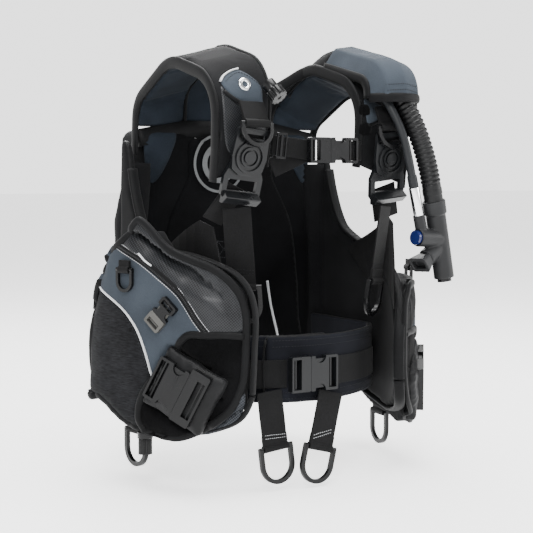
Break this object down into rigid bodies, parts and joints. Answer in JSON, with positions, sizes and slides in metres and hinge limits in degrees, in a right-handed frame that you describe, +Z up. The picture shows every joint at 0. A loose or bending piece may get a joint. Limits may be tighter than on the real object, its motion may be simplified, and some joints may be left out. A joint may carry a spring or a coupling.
{
  "type": "buoyancy compensator vest",
  "caption": "Jacket-style diving buoyancy vest with wrap-round air cells, padded harness, pull-out weight pouches, power inflator and a tank band.",
  "frame": {"origin": "on the wearer's torso axis, at the height of the waist belt", "axes": "+X to the wearer's left, +Y to the wearer's back, +Z up"},
  "size_m": [0.477, 0.5322, 0.5803],
  "materials": {
    "lining_fabric": "smooth woven lining",
    "black_fabric": "coated woven nylon",
    "grey_fabric": "heathered woven nylon with grey panels",
    "webbing": "ribbed polyester webbing",
    "rubber": "satin moulded rubber",
    "chrome": "polished",
    "blue_plastic": "gloss",
    "zip_tape": "woven tape with light stitching",
    "black_plastic": "satin moulded acetal"
  },
  "bodies": {
    "root": {"back_pad": "lining_fabric", "air_cell_back": "black_fabric", "backplate": "black_plastic", "tank_band": "webbing", "cam_buckle": "black_plastic", "lobe_right": "black_fabric", "lobe_left": "black_fabric", "pocket_right": "grey_fabric", "pocket_left": "grey_fabric", "shoulder_pad_right": "black_fabric", "shoulder_pad_left": "black_fabric", "hose_flap": "grey_fabric", "shoulder_strap_loops": "webbing", "swivel_plates": "black_plastic", "load_straps": "webbing", "sewn_tabs": "webbing", "chest_strap_left": "webbing", "chest_strap_right": "webbing", "chest_slider": "black_plastic", "chest_buckle_socket": "black_plastic", "cummerbund_right": "lining_fabric", "cummerbund_left": "lining_fabric", "waist_belt_right": "webbing", "waist_belt_left": "webbing", "waist_buckle_socket": "black_plastic", "inflator_hose": "rubber", "lp_hose": "rubber", "inflator_body": "black_plastic", "lp_coupling": "chrome", "mouthpiece": "rubber", "dump_valve_housings": "black_plastic", "pocket_zips": "zip_tape", "pocket_buckle_sockets": "black_plastic"},
    "cam_lever": {"cam_lever": "black_plastic"},
    "waist_plug": {"waist_buckle_plug": "black_plastic", "waist_tail_right": "webbing"},
    "waist_ring_right": {"waist_ring_right": "black_plastic"},
    "waist_ring_left": {"waist_ring_left": "black_plastic"},
    "chest_plug": {"chest_buckle_plug": "black_plastic"},
    "shoulder_release_right": {"shoulder_release_right": "black_plastic", "shoulder_tail_right": "webbing"},
    "tail_ring_right": {"tail_ring_right": "black_plastic"},
    "shoulder_ring_right": {"shoulder_ring_right": "black_plastic"},
    "lobe_ring_right": {"lobe_ring_right": "black_plastic"},
    "pocket_ring_right": {"pocket_ring_right": "black_plastic"},
    "weight_pouch_right": {"weight_pouch_right": "black_fabric", "pouch_handle_right": "black_plastic"},
    "shoulder_release_left": {"shoulder_release_left": "black_plastic", "shoulder_tail_left": "webbing"},
    "tail_ring_left": {"tail_ring_left": "black_plastic"},
    "shoulder_ring_left": {"shoulder_ring_left": "black_plastic"},
    "lobe_ring_left": {"lobe_ring_left": "black_plastic"},
    "pocket_ring_left": {"pocket_ring_left": "black_plastic"},
    "weight_pouch_left": {"weight_pouch_left": "black_fabric", "pouch_handle_left": "black_plastic"},
    "clip_plug": {"clip_plug": "black_plastic"},
    "inflate_button": {"inflate_button": "blue_plastic"},
    "deflate_button": {"deflate_button": "black_plastic"},
    "shoulder_dump_knob": {"shoulder_dump_knob": "black_plastic"},
    "rear_dump_knob": {"rear_dump_knob": "black_plastic"}
  },
  "joints": [
    {"name": "cam_lever_turn", "type": "hinge", "parent": "root", "child": "cam_lever", "pos_m": [0.0402, 0.35779, 0.135], "axis": [0, 0, 1], "range_deg": [0, 110]},
    {"name": "waist_buckle_slide", "type": "slide", "parent": "root", "child": "waist_plug", "axis": [-1, 0, 0], "range_m": [0, 0.028], "deforming": ["waist_belt_right"]},
    {"name": "waist_ring_right_swing", "type": "hinge", "parent": "waist_plug", "child": "waist_ring_right", "pos_m": [-0.066, -0.113, -0.098], "axis": [0.9953, 0.0054, 0.0965], "range_deg": [-85, 75]},
    {"name": "waist_ring_left_swing", "type": "hinge", "parent": "root", "child": "waist_ring_left", "pos_m": [-0.004, -0.124, -0.103], "axis": [0.9661, -0.0109, -0.2581], "range_deg": [-85, 75]},
    {"name": "chest_buckle_slide", "type": "slide", "parent": "root", "child": "chest_plug", "axis": [-1, 0, 0], "range_m": [0, 0.026], "deforming": ["chest_strap_right"]},
    {"name": "shoulder_release_right_slide", "type": "slide", "parent": "root", "child": "shoulder_release_right", "axis": [-0.113, 0.185, -0.9762], "range_m": [0, 0.028], "deforming": ["load_straps"]},
    {"name": "tail_ring_right_swing", "type": "hinge", "parent": "shoulder_release_right", "child": "tail_ring_right", "pos_m": [-0.1055, -0.096, 0.108], "axis": [0.861, -0.5037, 0.0705], "range_deg": [-30, 75]},
    {"name": "shoulder_ring_right_swing", "type": "hinge", "parent": "root", "child": "shoulder_ring_right", "pos_m": [-0.10508, -0.13138, 0.31484], "axis": [0.9986, 0.0463, -0.024], "range_deg": [-100, 0]},
    {"name": "lobe_ring_right_swing", "type": "hinge", "parent": "root", "child": "lobe_ring_right", "pos_m": [-0.2, 0.018, -0.084], "axis": [0.1483, -0.9889, 0], "range_deg": [-65, 65]},
    {"name": "pocket_ring_right_swing", "type": "hinge", "parent": "root", "child": "pocket_ring_right", "pos_m": [-0.22955, -0.01173, 0.131], "axis": [0.3411, -0.94, 0], "range_deg": [-95, 4]},
    {"name": "weight_pouch_right_slide", "type": "slide", "parent": "root", "child": "weight_pouch_right", "axis": [0.5526, -0.6886, -0.4695], "range_m": [0, 0.095]},
    {"name": "shoulder_release_left_slide", "type": "slide", "parent": "root", "child": "shoulder_release_left", "axis": [0.113, 0.185, -0.9762], "range_m": [0, 0.028], "deforming": ["load_straps"]},
    {"name": "tail_ring_left_swing", "type": "hinge", "parent": "shoulder_release_left", "child": "tail_ring_left", "pos_m": [0.1055, -0.096, 0.108], "axis": [0.861, 0.5037, -0.0705], "range_deg": [-30, 75]},
    {"name": "shoulder_ring_left_swing", "type": "hinge", "parent": "root", "child": "shoulder_ring_left", "pos_m": [0.10508, -0.13138, 0.31484], "axis": [0.9986, -0.0463, 0.024], "range_deg": [-8, 0]},
    {"name": "lobe_ring_left_swing", "type": "hinge", "parent": "root", "child": "lobe_ring_left", "pos_m": [0.2, 0.018, -0.098], "axis": [0.1483, 0.9889, 0], "range_deg": [-65, 65]},
    {"name": "pocket_ring_left_swing", "type": "hinge", "parent": "root", "child": "pocket_ring_left", "pos_m": [0.22955, -0.01173, 0.117], "axis": [0.3411, 0.94, 0], "range_deg": [-95, 4]},
    {"name": "weight_pouch_left_slide", "type": "slide", "parent": "root", "child": "weight_pouch_left", "axis": [-0.5526, -0.6886, -0.4695], "range_m": [0, 0.095]},
    {"name": "clip_slide", "type": "slide", "parent": "root", "child": "clip_plug", "axis": [-0.3647, 0.5912, -0.7193], "range_m": [0, 0.015]},
    {"name": "inflate_press", "type": "slide", "parent": "root", "child": "inflate_button", "axis": [0.9971, 0.0539, -0.0539], "range_m": [0, 0.0045], "stiffness_N_per_m": 600},
    {"name": "deflate_press", "type": "slide", "parent": "root", "child": "deflate_button", "axis": [-0.1306, 0.0584, 0.9897], "range_m": [0, 0.004], "stiffness_N_per_m": 600},
    {"name": "shoulder_dump_pull", "type": "slide", "parent": "root", "child": "shoulder_dump_knob", "axis": [0.3049, -0.6097, -0.7317], "range_m": [0, 0.01], "stiffness_N_per_m": 300},
    {"name": "rear_dump_pull", "type": "slide", "parent": "root", "child": "rear_dump_knob", "axis": [0, 0, -1], "range_m": [0, 0.01], "stiffness_N_per_m": 300}
  ]
}
